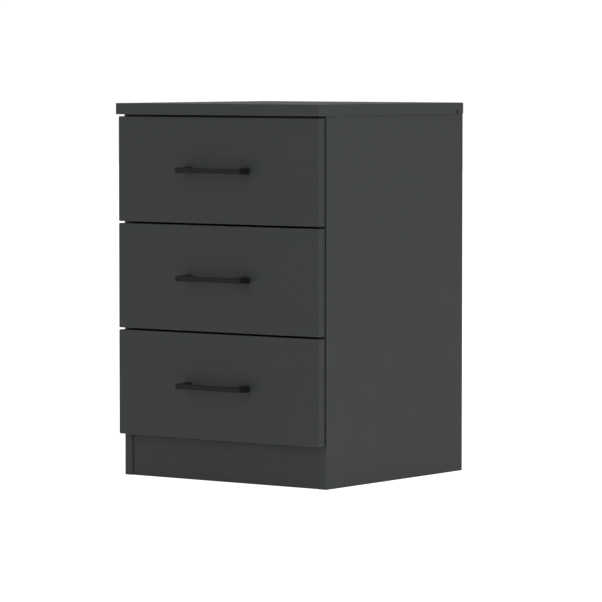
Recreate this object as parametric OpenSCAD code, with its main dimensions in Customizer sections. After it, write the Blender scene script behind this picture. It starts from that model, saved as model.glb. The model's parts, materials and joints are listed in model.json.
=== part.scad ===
// Nightstand with three drawers on roller runners.
// A dowelled and cam-locked panel carcass stands on its side panels and a plinth.
// Millimetres. Seen from the front, +X is right, +Y is back and +Z is up.
// The origin is on the floor, in the middle of the overall width and depth.

/* [Carcass] */
// Width over the outer faces of the side panels
cabinet_w = 400; // [330:5:600]
// Height from the floor to the top surface
cabinet_h = 597; // [490:1:760]
// Depth of the side panels
side_d = 375; // [300:5:480]
// Thickness of the side panels
side_t = 15; // [14:0.5:19]
// Thickness of the top panel
top_t = 18; // [16:0.5:25]
// How far the top stands out past each side panel
top_overhang_side = 1; // [0:0.5:12]
// How far the top stands out past the front edges of the side panels
top_overhang_front = 20.5; // [10:0.5:40]
// Thickness of the base panel under the lowest drawer
base_t = 15; // [14:0.5:19]
// Height of the plinth panel
plinth_h = 65; // [50:1:110]
// Thickness of the plinth panel
plinth_t = 15; // [14:0.5:19]
// How far the plinth sits behind the front edges of the side panels
plinth_setback = 2; // [0:0.5:30]
// Depth of the two rails that lie flat under the top
rail_d = 60; // [50:1:80]
// Thickness of the two rails
rail_t = 15; // [14:0.5:19]
// Thickness of the back panel
back_t = 3; // [2:0.5:6]
// Distance from the rear edges to the rear face of the back panel
back_inset = 15.5; // [8:0.5:25]
// Depth of the groove that holds the back panel
back_groove = 6.5; // [4:0.5:8]

/* [Drawers] */
// Thickness of a drawer front
front_t = 16; // [15:0.5:22]
// How far a drawer front stops short of each side panel's outer face
front_inset = 1.8; // [0:0.1:6]
// Gap above each drawer front
front_gap = 3; // [2:0.5:6]
// How far the lowest drawer front stops above the plinth's top edge
front_reveal = 2.5; // [0:0.5:6]
// Gap between a closed drawer front and the side panels
front_standoff = 1.2; // [0.8:0.1:3]
// Thickness of the drawer sides and the drawer back
box_t = 12; // [12:0.5:16]
// Distance from a front's top edge down to the top of its drawer box
box_drop = 29.5; // [24:0.5:50]
// Gap between the drawer box and the back panel
box_rear_gap = 8; // [4:0.5:20]
// Thickness of a drawer bottom
bottom_t = 3; // [2:0.5:6]
// Distance from a drawer side's lower edge up to the groove for the bottom
bottom_rise = 10; // [8:0.5:20]
// Depth of the groove for the bottom
bottom_groove = 5; // [3:0.5:6]

/* [Runners] */
// Space between a side panel and a drawer side
runner_space = 12.5; // [12.5:0.1:14]
// Thickness of the runner steel
steel_t = 1.2; // [1:0.1:1.5]
// Radius of a roller
roller_r = 8.5; // [7:0.1:10]
// Width of a roller
roller_w = 6.3; // [5:0.1:6.5]
// Radius of a roller's axle
axle_r = 2; // [1.5:0.1:2.5]
// Running gap between a roller and the steel that it rolls on
roller_gap = 0.3; // [0.2:0.05:0.5]
// Length of a cabinet runner that a drawer leaves behind at full travel
runner_overlap = 92; // [80:1:150]

/* [Handles] */
// Length of a handle
handle_w = 128; // [110:1:200]
// How far a handle stands out from the drawer front
handle_reach = 28; // [24:0.5:40]
// Width of a handle's foot
foot_w = 14; // [12:0.5:20]
// Height of a foot where it meets the drawer front
foot_h = 10.5; // [9:0.5:16]
// Thickness of the bar, front to back
bar_t = 8; // [6:0.5:10]
// Height of the bar at its ends
bar_end_h = 8.8; // [7:0.1:14]
// Height of the bar at its middle
bar_mid_h = 7.8; // [6:0.1:14]

/* [Hidden] */
$fn = 64;
drawer_count = 3;
drawers = [1 : drawer_count];

// Board finishes and metals
graphite = [0.25, 0.26, 0.26];
pale_board = [0.62, 0.62, 0.6];
hardboard = [0.45, 0.45, 0.43];
beech = [0.8, 0.65, 0.45];
runner_white = [0.85, 0.85, 0.83];
nylon = [0.93, 0.93, 0.9];
zinc = [0.7, 0.7, 0.72];
matt_black = [0.1, 0.1, 0.1];
clear_pad = [0.8, 0.82, 0.84];

// Depth stations, front to back
overall_d = handle_reach + front_t + front_standoff + side_d;
front_y = handle_reach - overall_d / 2;
front_back_y = front_y + front_t;
carcass_y = front_back_y + front_standoff;
rear_y = carcass_y + side_d;
back_y = rear_y - back_inset - back_t;

// Widths
inner_w = cabinet_w - 2 * side_t;
front_w = cabinet_w - 2 * front_inset;
box_w = inner_w - 2 * runner_space;
box_inner_w = box_w - 2 * box_t;

// Heights
top_under = cabinet_h - top_t;
base_top = plinth_h + base_t;
lowest_front_z = plinth_h + front_reveal;
front_h = (top_under - lowest_front_z) / drawer_count - front_gap;

// Fit of a panel in its groove, and of a peg in its hole
groove_fit = 0.3;
peg_fit = 0.05;
peg_end_gap = 0.3;

// Wooden dowel: the short end goes into a board's face, the long end into an edge
dowel_r = 4;
dowel_len = 30;
dowel_face = 10;

// Cam fitting: a stud screwed into one board's face is held by a cam in the other
cam_r = 7.5;
cam_floor = 2.5;
cam_fit = 0.1;
cam_reach = 24;
cam_slot_w = 1.4;
cam_slot_len = 9;
cam_slot_depth = 2;
stud_grip = 10;
stud_r = 3;
stud_neck_r = 2.2;
stud_head_r = 3.2;
stud_head_h = 3;
stud_hole_r = 3.8;
cam_spacing = 12;

// Back panel nail
nail_r = 0.8;
nail_len = 20;
nail_head_r = 2.2;
nail_head_h = 0.5;
nail_end_inset = 60;

// Runner screw
screw_r = 1.75;
screw_len = 10;
screw_head_r = 3.2;
screw_head_h = 1.1;

// Handle screw
bolt_r = 2;
bolt_clear = 0.25;
bolt_in_foot = 9;
bolt_head_r = 4;
bolt_head_h = 2.2;

// Bumper pad on a side panel's front edge
pad_r = 4;
pad_gap = 0.1;
pad_drop = 15;

// Cabinet runner: a channel with a roller at its front end
runner_setback = 2;
channel_d = 10.5;
channel_drop = 6;
runner_floor_gap = 1.5;
flange_gap = 1;
channel_h = 2 * roller_r + 2 * roller_gap + steel_t + flange_gap + 0.2;
channel_open = 30;
stop_h = 4;
stop_gap = 0.4;
runner_y0 = carcass_y + runner_setback;
runner_y1 = back_y - box_rear_gap;

// Drawer runner: an angle under the drawer side with a flange that rides the front roller
flange_edge = 2.9;
web_edge = runner_space - steel_t;
flange_cut = 26;

// Roller axles
front_axle_inset = 14;
rear_axle_inset = 12;
shoulder_r = 3.3;
shoulder_w = 1.2;
rivet_r = 3;
rivet_h = 0.7;
rivet_gap = 0.25;
bore_gap = 0.05;
front_axle_y = runner_y0 + front_axle_inset;
rear_axle_y = runner_y1 - rear_axle_inset;
axle_rise = roller_gap + roller_r;
travel = runner_y1 - runner_y0 - runner_overlap;

// Drawer box
box_rise = base_t - front_reveal + runner_floor_gap + channel_drop;
box_h = front_h - box_rise - box_drop;
box_rear_y = runner_y1;
dowel_low = 35;
dowel_high = 24;

// Handle
bow_r = 4;
bow_inner_r = 3;
flare_len = 12;
hole_spacing = handle_w - foot_w;
bow_span = handle_w / 2 - foot_w;
waist_steps = 8;

function front_z(k) = lowest_front_z + (drawer_count - k) * (front_h + front_gap);
function box_z(k) = front_z(k) + box_rise;
function channel_z(k) = box_z(k) - channel_drop + steel_t;
function axle_z(k) = channel_z(k) + axle_rise;

// ---------- shared shapes ----------

module block(from, to) {
    translate(from) cube(to - from);
}

module both_sides() {
    children();
    mirror([1, 0, 0]) children();
}

// Turns +Z to +X, to +Y or to -Y
module toward_x() {
    rotate([0, 90, 0]) children();
}

module toward_back() {
    rotate([-90, 0, 0]) children();
}

module toward_front() {
    rotate([90, 0, 0]) children();
}

// A dowel's joint plane is at z = 0 and its short end points along +Z
module dowel() {
    translate([0, 0, dowel_face - dowel_len]) cylinder(r = dowel_r, h = dowel_len);
}

module dowel_hole() {
    translate([0, 0, dowel_face - dowel_len - peg_end_gap])
        cylinder(r = dowel_r + peg_fit, h = dowel_len + 2 * peg_end_gap);
}

// A cam fitting's joint plane is at z = 0, its stud is screwed in along +Z,
// and its cam opens on the face at x = $board_t / 2
module cam_disc(gap) {
    depth = $board_t - cam_floor;
    translate([$board_t / 2 - depth, 0, -cam_reach])
        toward_x() cylinder(r = cam_r + gap, h = depth);
}

module cam_stud_hole() {
    translate([0, 0, -cam_reach]) cylinder(r = stud_hole_r, h = cam_reach);
    cylinder(r = stud_r + peg_fit, h = stud_grip + peg_end_gap);
}

module cam_bore() {
    cam_disc(cam_fit);
    cam_stud_hole();
}

module cam_lock() {
    difference() {
        cam_disc(0);
        translate([0, 0, -cam_reach - stud_hole_r]) cylinder(r = stud_hole_r, h = cam_reach);
        translate([$board_t / 2, 0, -cam_reach]) {
            cube([2 * cam_slot_depth, cam_slot_w, cam_slot_len], center = true);
            cube([2 * cam_slot_depth, cam_slot_len, cam_slot_w], center = true);
        }
    }
}

module cam_stud() {
    cylinder(r = stud_r, h = stud_grip);
    translate([0, 0, -cam_reach]) cylinder(r = stud_neck_r, h = cam_reach);
    translate([0, 0, -cam_reach]) cylinder(r = stud_head_r, h = stud_head_h);
}

// A fixing's head rests on z = 0 and its shank points along -Z
module fixing(shank_r, shank_len, head_r, head_h) {
    translate([0, 0, -shank_len]) cylinder(r = shank_r, h = shank_len);
    cylinder(r = head_r, h = head_h);
}

module pilot(shank_r, shank_len) {
    translate([0, 0, -shank_len - peg_end_gap])
        cylinder(r = shank_r + peg_fit, h = shank_len + peg_end_gap);
}

// ---------- where the carcass is joined ----------

front_joint_y = carcass_y + rail_d / 2;
back_joint_y = back_y - rail_d / 2;
front_cam_y = carcass_y + rail_d + cam_spacing;
back_cam_y = back_y - rail_d - cam_spacing;

module at_carcass_dowels() {
    both_sides() {
        for (y = [front_joint_y, back_joint_y]) {
            translate([cabinet_w / 2 - side_t / 2, y, top_under]) children();
            translate([inner_w / 2, y, plinth_h + base_t / 2]) toward_x() children();
            for (step = [-rail_d / 4, rail_d / 4])
                translate([inner_w / 2, y + step, top_under - rail_t / 2]) toward_x() children();
        }
        for (z = [plinth_h / 4, plinth_h * 3 / 4])
            translate([inner_w / 2, carcass_y + plinth_setback + plinth_t / 2, z]) toward_x() children();
    }
}

module at_cam_fittings() {
    both_sides()
        for (y = [front_cam_y, back_cam_y]) {
            translate([cabinet_w / 2 - side_t / 2, y, top_under]) rotate([0, 0, 180])
                let ($board_t = side_t) children();
            translate([inner_w / 2, y, plinth_h + base_t / 2]) toward_x()
                let ($board_t = base_t) children();
        }
}

module at_back_nails() {
    for (x = [nail_end_inset - inner_w / 2, 0, inner_w / 2 - nail_end_inset])
        for (z = [plinth_h + base_t / 2, top_under - rail_t / 2])
            translate([x, back_y + back_t, z]) toward_back() children();
}

// The three screws along a runner, between its two rollers
function screw_ys() = let (first = front_axle_y + 28, last = rear_axle_y - 28)
    [first, (first + last) / 2, last];

// Screw heads stand on the channel's web and point away from the side panel
module at_cabinet_runner_screws() {
    both_sides()
        for (k = drawers)
            for (y = screw_ys())
                translate([inner_w / 2 - steel_t, y, axle_z(k)]) rotate([0, -90, 0]) children();
}

module at_drawer_runner_screws(k) {
    both_sides()
        for (y = screw_ys())
            translate([box_w / 2 + steel_t, y, box_z(k) + bottom_rise / 2]) toward_x() children();
}

module at_drawer_dowels(k) {
    both_sides()
        for (z = [box_z(k) + dowel_low, box_z(k) + box_h - dowel_high]) {
            translate([box_w / 2 - box_t / 2, front_back_y, z]) toward_front() children();
            translate([box_inner_w / 2, box_rear_y - box_t / 2, z]) toward_x() children();
        }
}

module at_handle_screws(k) {
    both_sides()
        translate([hole_spacing / 2, front_back_y, front_z(k) + front_h / 2]) toward_back() children();
}

// ---------- carcass ----------

module back_groove_cut() {
    reach = inner_w / 2 + back_groove;
    block([-reach, back_y, -1], [reach, back_y + back_t + groove_fit, top_under + back_groove]);
}

module top_panel() {
    half = cabinet_w / 2 + top_overhang_side;
    color(graphite) difference() {
        block([-half, carcass_y - top_overhang_front, top_under], [half, rear_y, cabinet_h]);
        block([-half - 1, back_y, top_under - 1],
              [half + 1, back_y + back_t + groove_fit, top_under + back_groove]);
        at_carcass_dowels() dowel_hole();
        at_cam_fittings() cam_stud_hole();
    }
}

module side_panel() {
    color(graphite) difference() {
        block([inner_w / 2, carcass_y, 0], [cabinet_w / 2, rear_y, top_under]);
        back_groove_cut();
        at_carcass_dowels() dowel_hole();
        at_cam_fittings() cam_bore();
        at_cabinet_runner_screws() pilot(screw_r, screw_len);
    }
}

module back_panel() {
    reach = inner_w / 2 + back_groove - groove_fit;
    color(hardboard) difference() {
        block([-reach, back_y, plinth_h], [reach, back_y + back_t, top_under + back_groove - groove_fit]);
        at_back_nails() pilot(nail_r, nail_len);
    }
}

module base_panel() {
    color(graphite) difference() {
        block([-inner_w / 2, carcass_y, plinth_h], [inner_w / 2, back_y, base_top]);
        at_carcass_dowels() dowel_hole();
        at_cam_fittings() cam_bore();
        at_back_nails() pilot(nail_r, nail_len);
    }
}

module plinth_panel() {
    y = carcass_y + plinth_setback;
    color(graphite) difference() {
        block([-inner_w / 2, y, 0], [inner_w / 2, y + plinth_t, plinth_h]);
        at_carcass_dowels() dowel_hole();
    }
}

module top_rail(y) {
    color(graphite) difference() {
        block([-inner_w / 2, y, top_under - rail_t], [inner_w / 2, y + rail_d, top_under]);
        at_carcass_dowels() dowel_hole();
        at_back_nails() pilot(nail_r, nail_len);
    }
}

module carcass_dowels() {
    color(beech) at_carcass_dowels() dowel();
}

module cam_locks() {
    color(zinc) at_cam_fittings() cam_lock();
}

module cam_studs() {
    color(zinc) at_cam_fittings() cam_stud();
}

module back_nails() {
    color(zinc) at_back_nails() fixing(nail_r, nail_len, nail_head_r, nail_head_h);
}

module runner_screws() {
    color(zinc) at_cabinet_runner_screws() fixing(screw_r, screw_len, screw_head_r, screw_head_h);
}

module bumper_pads() {
    color(clear_pad) both_sides()
        for (k = drawers)
            translate([cabinet_w / 2 - side_t / 2, carcass_y, front_z(k) + front_h - pad_drop])
                toward_front() cylinder(r = pad_r, h = front_standoff - pad_gap);
}

// ---------- runners ----------

// Runners are drawn for the right side, with u measured inward from the side panel
module runner_block(u0, u1, y0, y1, z0, z1) {
    block([inner_w / 2 - u1, y0, z0], [inner_w / 2 - u0, y1, z1]);
}

module runner_pin(u0, u1, y, z, r) {
    translate([inner_w / 2 - u1, y, z]) toward_x() cylinder(r = r, h = u1 - u0);
}

front_roller_u = steel_t + shoulder_w + rivet_gap;
rear_roller_u = web_edge - shoulder_w - rivet_gap - roller_w;
half_chord = sqrt(roller_r * roller_r - pow(roller_r + roller_gap - stop_h, 2));
stop_y = rear_axle_y - travel - half_chord - stop_gap;

module cabinet_runner(k) {
    z = channel_z(k);
    ceiling = z + channel_h;
    axle_end = front_roller_u + roller_w + rivet_gap;
    color(runner_white) difference() {
        union() {
            runner_block(0, steel_t, runner_y0, runner_y1, z - steel_t, ceiling + steel_t);
            runner_block(0, channel_d, runner_y0, runner_y1, z - steel_t, z);
            runner_block(0, channel_d, runner_y0 + channel_open, runner_y1, ceiling, ceiling + steel_t);
            runner_block(0, channel_d, runner_y1 - steel_t, runner_y1, z - steel_t, z + stop_h);
            runner_block(0, channel_d, stop_y - steel_t, stop_y, z - steel_t, z + stop_h);
            runner_pin(0, steel_t + shoulder_w, front_axle_y, axle_z(k), shoulder_r);
            runner_pin(0, axle_end, front_axle_y, axle_z(k), axle_r);
            runner_pin(axle_end, axle_end + rivet_h, front_axle_y, axle_z(k), rivet_r);
        }
        at_cabinet_runner_screws() pilot(screw_r, screw_len);
    }
}

module drawer_runner(k) {
    under = box_z(k) - steel_t;
    flange_z = channel_z(k) + 2 * (roller_r + roller_gap);
    axle_end = rear_roller_u - rivet_gap;
    color(runner_white) difference() {
        union() {
            runner_block(web_edge, runner_space, runner_y0, runner_y1, under, flange_z + steel_t);
            runner_block(web_edge, runner_space + box_t, runner_y0, runner_y1, under, box_z(k));
            runner_block(flange_edge, runner_space, runner_y0, runner_y1 - flange_cut,
                         flange_z, flange_z + steel_t);
            runner_pin(web_edge - shoulder_w, web_edge, rear_axle_y, axle_z(k), shoulder_r);
            runner_pin(axle_end, web_edge, rear_axle_y, axle_z(k), axle_r);
            runner_pin(axle_end - rivet_h, axle_end, rear_axle_y, axle_z(k), rivet_r);
        }
        at_drawer_runner_screws(k) pilot(screw_r, screw_len);
    }
}

module roller(u, y, z) {
    difference() {
        runner_pin(u, u + roller_w, y, z, roller_r);
        runner_pin(u - 1, u + roller_w + 1, y, z, axle_r + bore_gap);
    }
}

module cabinet_rollers(k) {
    color(nylon) both_sides() roller(front_roller_u, front_axle_y, axle_z(k));
}

module drawer_rollers(k) {
    color(nylon) both_sides() roller(rear_roller_u, rear_axle_y, axle_z(k));
}

// ---------- drawers ----------

module bottom_groove_cut(k) {
    reach = box_inner_w / 2 + bottom_groove;
    z = box_z(k) + bottom_rise;
    block([-reach, front_back_y - bottom_groove, z], [reach, box_rear_y + 1, z + bottom_t + groove_fit]);
}

module drawer_front(k) {
    color(graphite) difference() {
        block([-front_w / 2, front_y, front_z(k)], [front_w / 2, front_back_y, front_z(k) + front_h]);
        bottom_groove_cut(k);
        at_drawer_dowels(k) dowel_hole();
        at_handle_screws(k) pilot(bolt_r + bolt_clear, front_t);
    }
}

module drawer_side(k) {
    color(pale_board) difference() {
        block([box_inner_w / 2, front_back_y, box_z(k)], [box_w / 2, box_rear_y, box_z(k) + box_h]);
        bottom_groove_cut(k);
        at_drawer_dowels(k) dowel_hole();
        at_drawer_runner_screws(k) pilot(screw_r, screw_len);
    }
}

module drawer_back(k) {
    z = box_z(k) + bottom_rise + bottom_t + groove_fit;
    color(pale_board) difference() {
        block([-box_inner_w / 2, box_rear_y - box_t, z], [box_inner_w / 2, box_rear_y, box_z(k) + box_h]);
        at_drawer_dowels(k) dowel_hole();
    }
}

module drawer_bottom(k) {
    reach = box_inner_w / 2 + bottom_groove - groove_fit;
    z = box_z(k) + bottom_rise + groove_fit / 2;
    color(pale_board)
        block([-reach, front_back_y - bottom_groove + groove_fit, z], [reach, box_rear_y, z + bottom_t]);
}

module drawer_dowels(k) {
    color(beech) at_drawer_dowels(k) dowel();
}

module drawer_runner_screws(k) {
    color(zinc) at_drawer_runner_screws(k) fixing(screw_r, screw_len, screw_head_r, screw_head_h);
}

// ---------- handles ----------

module bow_outline(half, depth, corner) {
    translate([-half, 0]) square([2 * half, depth - corner]);
    translate([corner - half, 0]) square([2 * (half - corner), depth]);
    for (side = [-1, 1])
        translate([side * (half - corner), depth - corner]) circle(r = corner);
}

function mirrored_below(points) = let (n = len(points))
    [each points, for (i = [n - 1 : -1 : 0]) [points[i].x, -points[i].y]];

// Seen from the front: the feet are tall, and the bar narrows to its middle along a shallow curve
function bar_half_h(x) = (bar_mid_h + (bar_end_h - bar_mid_h) * pow(x / bow_span, 2)) / 2;

module bow_front_outline() {
    xs = [for (i = [-waist_steps : waist_steps]) i * bow_span / waist_steps];
    bar = [for (x = xs) [x, bar_half_h(x)]];
    left_foot = [[-handle_w / 2, foot_h / 2], [-bow_span, foot_h / 2]];
    right_foot = [[bow_span, foot_h / 2], [handle_w / 2, foot_h / 2]];
    polygon(mirrored_below(concat(left_foot, bar, right_foot)));
}

// Seen from the side: a foot tapers from the drawer front to the height of the bar's ends
module bow_side_outline() {
    polygon(mirrored_below([[0, foot_h / 2], [-flare_len, bar_end_h / 2], [-handle_reach, bar_end_h / 2]]));
}

module bow_plan() {
    mirror([0, 1, 0]) difference() {
        bow_outline(handle_w / 2, handle_reach, bow_r);
        translate([0, -1]) bow_outline(bow_span, handle_reach - bar_t + 1, bow_inner_r);
    }
}

module handle(k) {
    color(matt_black) translate([0, front_y, front_z(k) + front_h / 2]) difference() {
        intersection() {
            translate([0, 0, -foot_h / 2]) linear_extrude(foot_h) bow_plan();
            toward_front() linear_extrude(handle_reach) bow_front_outline();
            translate([-handle_w / 2, 0, 0]) rotate([90, 0, 90])
                linear_extrude(handle_w) bow_side_outline();
        }
        translate([0, -front_y, -front_z(k) - front_h / 2])
            at_handle_screws(k) pilot(bolt_r, front_t + bolt_in_foot);
    }
}

module handle_screws(k) {
    color(zinc) at_handle_screws(k) fixing(bolt_r, front_t + bolt_in_foot, bolt_head_r, bolt_head_h);
}

// ---------- nodes ----------

carcass_nodes = [
    "top_panel", "side_panel_left", "side_panel_right", "back_panel", "base_panel", "plinth_panel",
    "top_rail_front", "top_rail_back", "carcass_dowels", "cam_locks", "cam_studs", "back_nails",
    "runner_screws", "bumper_pads"
];
drawer_nodes = [
    "cabinet_runner_left_", "cabinet_runner_right_", "cabinet_rollers_",
    "drawer_front_", "drawer_side_left_", "drawer_side_right_", "drawer_back_", "drawer_bottom_",
    "drawer_dowels_", "drawer_runner_left_", "drawer_runner_right_", "drawer_runner_screws_",
    "drawer_rollers_", "handle_", "handle_screws_"
];

top_panel();
mirror([1, 0, 0]) side_panel();  // side_panel_left
side_panel();  // side_panel_right
back_panel();
base_panel();
plinth_panel();
top_rail(carcass_y);  // top_rail_front
top_rail(back_y - rail_d);  // top_rail_back
carcass_dowels();
cam_locks();
cam_studs();
back_nails();
runner_screws();
bumper_pads();

for (k = drawers) {
    mirror([1, 0, 0]) cabinet_runner(k);
    cabinet_runner(k);
    cabinet_rollers(k);
    drawer_front(k);
    mirror([1, 0, 0]) drawer_side(k);
    drawer_side(k);
    drawer_back(k);
    drawer_bottom(k);
    drawer_dowels(k);
    mirror([1, 0, 0]) drawer_runner(k);
    drawer_runner(k);
    drawer_runner_screws(k);
    drawer_rollers(k);
    handle(k);
    handle_screws(k);
}
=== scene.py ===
import bpy
import bmesh
import json
import math
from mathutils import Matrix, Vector


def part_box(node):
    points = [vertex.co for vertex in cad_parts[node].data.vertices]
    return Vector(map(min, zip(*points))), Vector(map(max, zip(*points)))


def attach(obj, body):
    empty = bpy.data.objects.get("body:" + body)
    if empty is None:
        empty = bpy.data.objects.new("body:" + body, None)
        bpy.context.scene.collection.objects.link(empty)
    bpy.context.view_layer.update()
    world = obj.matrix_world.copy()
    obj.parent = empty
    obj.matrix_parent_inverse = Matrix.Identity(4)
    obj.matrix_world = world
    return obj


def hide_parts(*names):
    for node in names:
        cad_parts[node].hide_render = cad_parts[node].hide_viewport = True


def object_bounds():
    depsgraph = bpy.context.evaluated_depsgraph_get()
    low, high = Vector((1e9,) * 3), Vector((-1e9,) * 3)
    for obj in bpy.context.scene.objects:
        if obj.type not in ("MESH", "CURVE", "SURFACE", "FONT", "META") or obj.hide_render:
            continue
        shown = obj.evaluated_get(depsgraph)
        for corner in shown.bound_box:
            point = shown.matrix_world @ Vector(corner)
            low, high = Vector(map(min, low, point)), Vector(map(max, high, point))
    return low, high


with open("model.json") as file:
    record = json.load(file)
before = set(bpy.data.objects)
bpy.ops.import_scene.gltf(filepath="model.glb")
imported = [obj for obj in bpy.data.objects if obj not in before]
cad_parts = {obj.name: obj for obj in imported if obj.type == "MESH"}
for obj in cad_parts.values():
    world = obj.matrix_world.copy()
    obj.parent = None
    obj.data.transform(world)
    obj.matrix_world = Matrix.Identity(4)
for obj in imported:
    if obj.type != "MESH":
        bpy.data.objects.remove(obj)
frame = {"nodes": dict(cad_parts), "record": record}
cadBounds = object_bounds()
cadNodes = frame["nodes"]
bodies = frame["record"]["behaviour"]["bodies"]
bodyOf = {node: body for body, members in bodies.items() for node in members}
scene = bpy.context.scene
mm = 0.001
drawers = (1, 2, 3)
print("frame loaded:", len(cadNodes), "nodes")


# camera, lights and floor

cameraSizes = {
    "turn": 36.37,  # degrees round from the front towards the right side
    "rise": 3.43,  # degrees above level
    "distance": 6.432,
    "lens": 239.9,
    "farthest": 100,
    "aimShift": (0.0311, -0.0018, -0.0187),  # from the middle of the object
}
lightSizes = {
    "sky": 0.40,  # even light from all round
    "skySeen": 1.02,  # what the camera sees behind the object
    "sideLight": {"turn": 82, "rise": 30, "distance": 3.2, "size": 2.2, "power": 25},
    "topLight": {"turn": 20, "rise": 80, "distance": 3.0, "size": 2.4, "power": 17},
    "frontLight": {"turn": -12, "rise": 24, "distance": 4.0, "size": 2.6, "power": 14},
}


def directionOf(turn, rise):
    turn, rise = math.radians(turn), math.radians(rise)
    return Vector((math.sin(turn) * math.cos(rise), -math.cos(turn) * math.cos(rise), math.sin(rise)))


def addToScene(name, data):
    made = bpy.data.objects.new(name, data)
    scene.collection.objects.link(made)
    return made


def aimAtMiddle(thing, sizes, shift=(0, 0, 0)):
    target = (cadBounds[0] + cadBounds[1]) / 2 + Vector(shift)
    direction = directionOf(sizes["turn"], sizes["rise"])
    thing.location = target + direction * sizes["distance"]
    thing.rotation_euler = (-direction).to_track_quat("-Z", "Y").to_euler()


def makeCamera(sizes):
    camera = addToScene("camera", bpy.data.cameras.new("camera"))
    camera.data.lens = sizes["lens"]
    camera.data.clip_end = sizes["farthest"]
    aimAtMiddle(camera, sizes, sizes["aimShift"])
    scene.camera = camera


def makeAreaLight(name, sizes):
    data = bpy.data.lights.new(name, "AREA")
    data.shape = "DISK"
    data.size = sizes["size"]
    data.energy = sizes["power"]
    aimAtMiddle(addToScene(name, data), sizes)


# node helpers, used by materials and by geometry trees

def put(tree, socket, value):
    if isinstance(value, bpy.types.NodeSocket):
        tree.links.new(value, socket)
    else:
        socket.default_value = value


def addNode(tree, kind, values=None, **settings):
    made = tree.nodes.new(kind)
    for key, value in settings.items():
        setattr(made, key, value)
    for key, value in (values or {}).items():
        put(tree, made.inputs[key], value)
    return made


def calc(tree, operation, *values):
    return addNode(tree, "ShaderNodeMath", dict(enumerate(values)), operation=operation).outputs[0]


def times(tree, first, second):
    return calc(tree, "MULTIPLY", first, second)


def plus(tree, first, second):
    return calc(tree, "ADD", first, second)


def minus(tree, first, second):
    return calc(tree, "SUBTRACT", first, second)


def calcVector(tree, operation, *values):
    made = addNode(tree, "ShaderNodeVectorMath", dict(enumerate(values)), operation=operation)
    return made.outputs["Value" if operation == "LENGTH" else "Vector"]


def scaled(tree, vector, factor):
    values = {"Vector": vector, "Scale": factor}
    return addNode(tree, "ShaderNodeVectorMath", values, operation="SCALE").outputs["Vector"]


def stretch(tree, value, fromLow, fromHigh, toLow=0.0, toHigh=1.0):
    values = {"Value": value, "From Min": fromLow, "From Max": fromHigh, "To Min": toLow, "To Max": toHigh}
    return addNode(tree, "ShaderNodeMapRange", values, clamp=True).outputs["Result"]


def blendColours(tree, factor, first, second):
    values = {"Factor": factor, "A": first, "B": second}
    return addNode(tree, "ShaderNodeMix", values, data_type="RGBA").outputs["Result"]


def noise(tree, place, scale, detail=2.0, roughness=0.5):
    values = {"Vector": place, "Scale": scale, "Detail": detail, "Roughness": roughness}
    return addNode(tree, "ShaderNodeTexNoise", values).outputs["Fac"]


def cells(tree, place, scale, feature="F1"):
    return addNode(tree, "ShaderNodeTexVoronoi", {"Vector": place, "Scale": scale}, feature=feature).outputs


def newTree(kind, name, inputs, outputs):
    tree = bpy.data.node_groups.new(name, kind)
    for label, sort, value in inputs:
        socket = tree.interface.new_socket(name=label, in_out="INPUT", socket_type="NodeSocket" + sort)
        if value is not None:
            socket.default_value = value
    for label, sort in outputs:
        tree.interface.new_socket(name=label, in_out="OUTPUT", socket_type="NodeSocket" + sort)
    return tree, addNode(tree, "NodeGroupInput").outputs, addNode(tree, "NodeGroupOutput").inputs


def paint(red, green, blue):
    def toLinear(value):
        value /= 255
        return value / 12.92 if value <= 0.04045 else ((value + 0.055) / 1.055) ** 2.4
    return (toLinear(red), toLinear(green), toLinear(blue), 1.0)


# shader groups shared by the finishes, each with a place to read and a size in metres

def newPattern(name, inputs, outputs):
    shared = [("Vector", "Vector", None), ("Size", "Float", mm)]
    tree, given, result = newTree("ShaderNodeTree", name, shared + inputs, outputs)
    return tree, given, result, given["Vector"], calc(tree, "DIVIDE", 1.0, given["Size"])


def makeMottleGroup():
    # slow clouds of lighter and darker tint, about 1
    tree, given, result, place, scale = newPattern(
        "cloudyTint", [("Amount", "Float", 0.04)], [("Tint", "Float")])
    cloud = noise(tree, place, scale, detail=4.0, roughness=0.6)
    swing = times(tree, minus(tree, cloud, 0.5), times(tree, given["Amount"], 2.0))
    put(tree, result["Tint"], plus(tree, swing, 1.0))
    return tree


def makePearlGroup():
    # a foil's fine embossing: rounded cells broken by a softer noise
    pearlShare, driftShare = 0.6, 0.8
    driftScale, sheenScale = 0.31, 0.012  # against the cells
    tree, given, result, place, scale = newPattern(
        "pearlEmboss", [], [("Height", "Float"), ("Sheen Shift", "Float")])
    pearl = cells(tree, place, scale, "SMOOTH_F1")["Distance"]
    drift = noise(tree, place, times(tree, scale, driftScale), detail=3.0)
    put(tree, result["Height"], plus(tree, times(tree, pearl, pearlShare), times(tree, drift, driftShare)))
    slow = noise(tree, place, times(tree, scale, sheenScale), detail=3.0)
    put(tree, result["Sheen Shift"], minus(tree, slow, 0.5))
    return tree


def makeWearGroup():
    # worn arrises: the mesh says where an arris is, noise breaks it up
    broadCut, fineCut = (0.42, 0.66), (0.35, 0.6)  # where each noise starts and is full
    fineScale = 11.0
    tree, given, result, place, scale = newPattern(
        "arrisWear", [("Arris", "Float", 0.0), ("Amount", "Float", 0.5)], [("Mask", "Float")])
    broad = stretch(tree, noise(tree, place, scale, detail=4.0, roughness=0.62), *broadCut)
    fine = stretch(tree, noise(tree, place, times(tree, scale, fineScale)), *fineCut)
    rub = times(tree, times(tree, broad, fine), given["Amount"])
    put(tree, result["Mask"], times(tree, rub, given["Arris"]))
    return tree


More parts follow.
